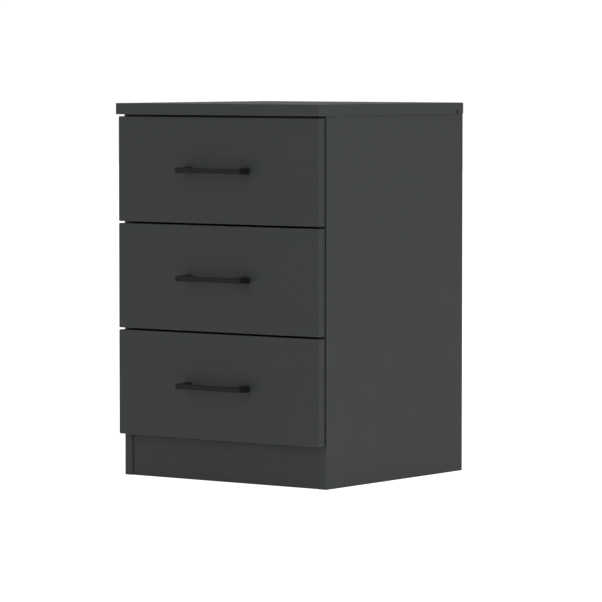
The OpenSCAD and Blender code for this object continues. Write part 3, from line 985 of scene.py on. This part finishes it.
rollerSizes = {
    "bore": 2.05 * mm, "hub": 3.6 * mm, "rim": 1.5 * mm, "dish": 1.2 * mm,
    "round": 0.7 * mm, "roundSteps": 4, "chamfer": 0.3 * mm,
    "hubSlope": 0.2 * mm, "rimSlope": 0.4 * mm,
    "turns": 64,
}


def rollerModel(node, sizes):
    low, high = solidsOf(node)[0]
    radius, width = (high - low).z / 2, (high - low).x
    hub, dish, corner, chamfer = sizes["hub"], sizes["dish"], sizes["round"], sizes["chamfer"]
    rim = radius - sizes["rim"]
    half = [(sizes["bore"], 0.0), (hub - chamfer, 0.0), (hub, -chamfer), (hub + sizes["hubSlope"], -dish),
            (rim - sizes["rimSlope"], -dish), (rim, -chamfer)]
    for i in range(sizes["roundSteps"] + 1):
        angle = math.radians(90 * i / sizes["roundSteps"])
        half.append((radius - corner + corner * math.sin(angle), -corner + corner * math.cos(angle)))
    below = [(across, -width - height) for across, height in reversed(half)]
    return turned(half + below, sizes["turns"], closed=True)


for k in drawers:
    for node, facing in (("cabinet_rollers_%d" % k, inward), ("drawer_rollers_%d" % k, outward)):
        setFixings(node, rollerModel(node, rollerSizes), facing, nylon, mostTurn=0.0)
print("rollers made")


# runners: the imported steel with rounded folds, and a row of slots cut by a geometry tree

runnerSizes = {
    "foldRound": 1.1 * mm, "foldSteps": 4,
    "edgeRound": 0.3 * mm, "edgeSteps": 2,
    "steel": 2 * mm,  # a side narrower than this is a rim of the steel
    "shortestEdge": 40 * mm,
    "slotLength": 9 * mm, "slotHeight": 4.2 * mm, "slotDepth": 8 * mm, "slotEndSteps": 8,
    "slotsPerGap": 3,  # slots between two screws
    "screwReach": 6 * mm,  # a screw this near sideways holds the runner
}


def slotCutter(sizes):
    # a prism along X with rounded ends
    work = bmesh.new()
    radius, straight = sizes["slotHeight"] / 2, (sizes["slotLength"] - sizes["slotHeight"]) / 2
    outline = []
    for end in (1, -1):
        for i in range(sizes["slotEndSteps"] + 1):
            angle = math.radians(180 * i / sizes["slotEndSteps"] - 90 * end)
            outline.append((end * straight + radius * math.cos(angle), radius * math.sin(angle)))
    nearSide = [work.verts.new((-sizes["slotDepth"] / 2, y, z)) for y, z in outline]
    farSide = [work.verts.new((sizes["slotDepth"] / 2, y, z)) for y, z in outline]
    addPrism(work, nearSide, farSide)
    return meshFrom(work, "slotCutter", closed=True)


def makeSlotTree():
    # a line of cutters from one screw to the last, left out where a screw sits
    tree, given, result = newGeometryTree(
        "slotRow",
        [("Cutter", "Object", None), ("First", "Vector", None), ("Last", "Vector", None),
         ("Screw Gaps", "Int", 2), ("Slots Per Gap", "Int", 3), ("Finish", "Material", None)])
    steps = plus(tree, given["Slots Per Gap"], 1)
    count = plus(tree, times(tree, steps, given["Screw Gaps"]), 1)
    line = {"Count": count, "Start Location": given["First"], "Offset": given["Last"]}
    row = addNode(tree, "GeometryNodeMeshLine", line, mode="END_POINTS", count_mode="TOTAL")
    place = addNode(tree, "GeometryNodeInputIndex").outputs["Index"]
    between = calc(tree, "GREATER_THAN", calc(tree, "MODULO", place, steps), 0.5)
    cutters = addNode(tree, "GeometryNodeInstanceOnPoints", {
        "Points": row.outputs["Mesh"], "Selection": between, "Instance": modelFrom(tree, given["Cutter"])})
    parts = {"Mesh 1": given["Geometry"], "Mesh 2": cutters.outputs["Instances"]}
    cut = addNode(tree, "GeometryNodeMeshBoolean", parts, operation="DIFFERENCE", solver="EXACT")
    finishTree(tree, cut.outputs["Mesh"], given["Finish"], result)
    return tree


slotTree = makeSlotTree()


def roundLongEdges(work, folds, reach, steps):
    # a fold lies between two broad faces, any other long edge is on a rim of the steel
    edges = []
    for edge in work.edges:
        length = abs(edge.verts[0].co.y - edge.verts[1].co.y)
        if length < runnerSizes["shortestEdge"] or len(edge.link_faces) != 2 or not edge.is_convex:
            continue
        narrowest = min(face.calc_area() / length for face in edge.link_faces)
        if edge.calc_face_angle() > 1.0 and (narrowest > runnerSizes["steel"]) == folds:
            edges.append(edge)
    return roundEdges(work, edges, reach, steps)


def screwHeadsOn(node, screwNode, facing):
    # the ends of the screws that hold one runner, front to back
    low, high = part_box(node)
    near = runnerSizes["screwReach"]
    heads = []
    for screwLow, screwHigh in solidsOf(screwNode):
        centre, size = (screwLow + screwHigh) / 2, screwHigh - screwLow
        if low.x - near < centre.x < high.x + near and low.z < centre.z < high.z:
            heads.append(centre + Vector(facing(centre, size)) * size.x / 2)
    return sorted(heads, key=lambda head: head.y)


def runnerFrom(node, screwNode, facing, sizes):
    work = plainCopy(node)
    onArris = work.verts.layers.float.new("arris")
    for folds, reach, steps in ((True, sizes["foldRound"], sizes["foldSteps"]),
                                (False, sizes["edgeRound"], sizes["edgeSteps"])):
        for face in roundLongEdges(work, folds, reach, steps):
            for vert in face.verts:
                vert[onArris] = 1.0
    heads = screwHeadsOn(node, screwNode, facing)
    cutter = addToScene("slotCutter", slotCutter(sizes))
    mesh = grow(meshFrom(work, camel(node)), slotTree, {
        "Cutter": cutter, "First": heads[0], "Last": heads[-1], "Screw Gaps": len(heads) - 1,
        "Slots Per Gap": sizes["slotsPerGap"], "Finish": epoxyWhite})
    bpy.data.objects.remove(cutter)
    finishPiece(node, mesh)


for k in drawers:
    for side in ("left", "right"):
        runnerFrom("cabinet_runner_%s_%d" % (side, k), "runner_screws", inward, runnerSizes)
        runnerFrom("drawer_runner_%s_%d" % (side, k), "drawer_runner_screws_%d" % k, outward, runnerSizes)
print("runners made")


# handles: a bar lofted between an outer and an inner bow, in one geometry tree

handleSizes = {
    "Bar Depth": 8 * mm,
    "Foot Width": 14 * mm,
    "End Height": 8.8 * mm,
    "Middle Height": 7.8 * mm,
    "Flare": 12 * mm,
    "Outer Corner": 4 * mm,
    "Inner Corner": 3 * mm,
    "Edge Round": 1.3 * mm,
}
handleSteps = {"corner": 7, "straight": 7, "ring": 24}
waistPower, flarePower = 2.0, 1.6  # how late the bar narrows and a foot grows


def makeHandleTree():
    names = ["Length", "Reach", "Foot Height"] + list(handleSizes)
    inputs = [(name, "Float", 10 * mm) for name in names]
    tree, given, result = newGeometryTree(
        "bowHandle", inputs + [("Place", "Vector", None), ("Finish", "Material", None)])

    def half(value):
        return times(tree, value, 0.5)

    def positions():
        return addNode(tree, "GeometryNodeInputPosition").outputs["Position"]

    def separated(vector):
        return addNode(tree, "ShaderNodeSeparateXYZ", {"Vector": vector}).outputs

    def combined(**parts):
        return addNode(tree, "ShaderNodeCombineXYZ", parts).outputs["Vector"]

    def moved(geometry, position):
        values = {"Geometry": geometry, "Position": position}
        return addNode(tree, "GeometryNodeSetPosition", values).outputs["Geometry"]

    def captured(geometry, kind, value):
        # gives the geometry that carries the value, and the value on what is made from it
        made = addNode(tree, "GeometryNodeCaptureAttribute", domain="POINT")
        made.capture_items.new(kind, "kept")
        put(tree, made.inputs["Geometry"], geometry)
        put(tree, made.inputs[1], value)
        return made.outputs["Geometry"], made.outputs[1]

    def bow(halfLength, reach, corner):
        # the unit path is stretched to size, its corners are rounded and its straights divided
        sized = calcVector(tree, "MULTIPLY", positions(), combined(X=halfLength, Y=reach))
        unitPath = moved(given["Geometry"], sized)
        path = addNode(tree, "GeometryNodeMeshToCurve", {"Mesh": unitPath}).outputs["Curve"]
        corners = {"Curve": path, "Count": handleSteps["corner"], "Radius": corner}
        bent = addNode(tree, "GeometryNodeFilletCurve", corners, mode="POLY").outputs["Curve"]
        cuts = {"Curve": bent, "Cuts": handleSteps["straight"]}
        return addNode(tree, "GeometryNodeSubdivideCurve", cuts).outputs["Curve"]

    def pointOn(curve, index):
        values = {"Geometry": curve, "Value": positions(), "Index": index}
        sampled = addNode(tree, "GeometryNodeSampleIndex", values, data_type="FLOAT_VECTOR", domain="POINT")
        return sampled.outputs["Value"]

    halfLength = half(given["Length"])
    outer = bow(halfLength, given["Reach"], given["Outer Corner"])
    innerHalf = minus(tree, halfLength, given["Foot Width"])
    inner = bow(innerHalf, minus(tree, given["Reach"], given["Bar Depth"]), given["Inner Corner"])

    # a ring of points round a unit circle, none of them on an axis, is swept along the outer bow
    circle = {"Resolution": handleSteps["ring"], "Radius": 1.0}
    ring = addNode(tree, "GeometryNodeCurvePrimitiveCircle", circle)
    offAxis = addNode(tree, "GeometryNodeTransform", {
        "Geometry": ring.outputs["Curve"], "Rotation": (0, 0, math.pi / handleSteps["ring"])})
    profile, roundAbout = captured(offAxis.outputs["Geometry"], "VECTOR", positions())
    rail, step = captured(outer, "INT", addNode(tree, "GeometryNodeInputIndex").outputs["Index"])
    sweep = {"Curve": rail, "Profile Curve": profile, "Fill Caps": True}
    swept = addNode(tree, "GeometryNodeCurveToMesh", sweep)

    # each section lies between matching points of the two bows
    outside, inside = pointOn(outer, step), pointOn(inner, step)
    across = calcVector(tree, "SUBTRACT", outside, inside)
    halfWidth = half(calcVector(tree, "LENGTH", across))
    middle = scaled(tree, calcVector(tree, "ADD", outside, inside), 0.5)

    # the bar narrows to its middle, and the feet grow towards the drawer front
    awayFromMiddle = calc(tree, "DIVIDE", calc(tree, "ABSOLUTE", separated(middle)["X"]), innerHalf)
    late = calc(tree, "POWER", awayFromMiddle, waistPower)
    near = minus(tree, 1.0, calc(tree, "MINIMUM", late, 1.0))
    waist = times(tree, near, half(minus(tree, given["End Height"], given["Middle Height"])))
    outOfFront = calc(tree, "ABSOLUTE", calc(tree, "DIVIDE", separated(middle)["Y"], given["Flare"]))
    spread = calc(tree, "MAXIMUM", minus(tree, 1.0, outOfFront), 0.0)
    growth = half(minus(tree, given["Foot Height"], given["End Height"]))
    flare = times(tree, calc(tree, "POWER", spread, flarePower), growth)
    halfHeight = plus(tree, minus(tree, half(given["End Height"]), waist), flare)

    # a rounded rectangle: flat sides, with the ring's quarters as its corners
    def cornered(value, halfSize):
        flat = times(tree, calc(tree, "SIGN", value), minus(tree, halfSize, given["Edge Round"]))
        return plus(tree, flat, times(tree, value, given["Edge Round"]))

    place = middle
    sideways = cornered(separated(roundAbout)["X"], halfWidth)
    upward = combined(Z=cornered(separated(roundAbout)["Y"], halfHeight))
    for shift in (scaled(tree, calcVector(tree, "NORMALIZE", across), sideways), upward, given["Place"]):
        place = calcVector(tree, "ADD", place, shift)
    finishTree(tree, moved(swept.outputs["Mesh"], place), given["Finish"], result)
    return tree


handleTree = makeHandleTree()


def handleFrom(node, sizes):
    low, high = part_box(node)
    unitPath = bpy.data.meshes.new("path")
    unitPath.from_pydata([(-1, 0, 0), (-1, -1, 0), (1, -1, 0), (1, 0, 0)], [(0, 1), (1, 2), (2, 3)], [])
    values = dict(sizes)
    values.update({
        "Length": high.x - low.x,
        "Reach": high.y - low.y,
        "Foot Height": high.z - low.z,
        "Place": ((low.x + high.x) / 2, high.y, (low.z + high.z) / 2),
        "Finish": powderBlack,
    })
    mesh = grow(unitPath, handleTree, values)
    work = bmesh.new()
    work.from_mesh(mesh)
    bmesh.ops.recalc_face_normals(work, faces=work.faces)
    work.to_mesh(mesh)
    work.free()
    finishPiece(node, mesh)


for k in drawers:
    handleFrom("handle_%d" % k, handleSizes)
print("handles made")


# stage

floorSizes = {
    "width": 30,
    "colour": paint(236, 236, 236),
    "roughness": 0.9,
    "specular": 0.1,
    "glow": 0.26,  # light given off
    "glowSeen": 0.90,  # what the camera sees of it
}


def makeFloor(sizes):
    half = sizes["width"] / 2
    mesh = bpy.data.meshes.new("floor")
    corners = [(-half, -half, 0), (half, -half, 0), (half, half, 0), (-half, half, 0)]
    mesh.from_pydata(corners, [], [(0, 1, 2, 3)])
    made, tree, sockets = newFinish("paleFloor", sizes)
    seen = addNode(tree, "ShaderNodeLightPath").outputs["Is Camera Ray"]
    put(tree, sockets["Emission Color"], stretch(tree, seen, 0.0, 1.0, sizes["glow"], sizes["glowSeen"]))
    sockets["Emission Strength"].default_value = 1.0
    # clear from below, so that the underside of the cabinet can be seen
    fromBelow = addNode(tree, "ShaderNodeNewGeometry").outputs["Backfacing"]
    put(tree, sockets["Alpha"], minus(tree, 1.0, fromBelow))
    mesh.materials.append(made)
    floor = addToScene("floor", mesh)


def makeSky(sizes):
    world = bpy.data.worlds.new("studio")
    scene.world = world
    world.use_nodes = True
    tree = world.node_tree
    tree.nodes.clear()
    seen = addNode(tree, "ShaderNodeLightPath").outputs["Is Camera Ray"]
    strength = stretch(tree, seen, 0.0, 1.0, sizes["sky"], sizes["skySeen"])
    glow = addNode(tree, "ShaderNodeBackground", {"Color": (1, 1, 1, 1), "Strength": strength})
    addNode(tree, "ShaderNodeOutputWorld", {"Surface": glow.outputs["Background"]})


makeCamera(cameraSizes)
makeFloor(floorSizes)
makeSky(lightSizes)
for name in ("sideLight", "topLight", "frontLight"):
    makeAreaLight(name, lightSizes[name])
scene.view_settings.view_transform = "Standard"
print("camera, lights and floor made")
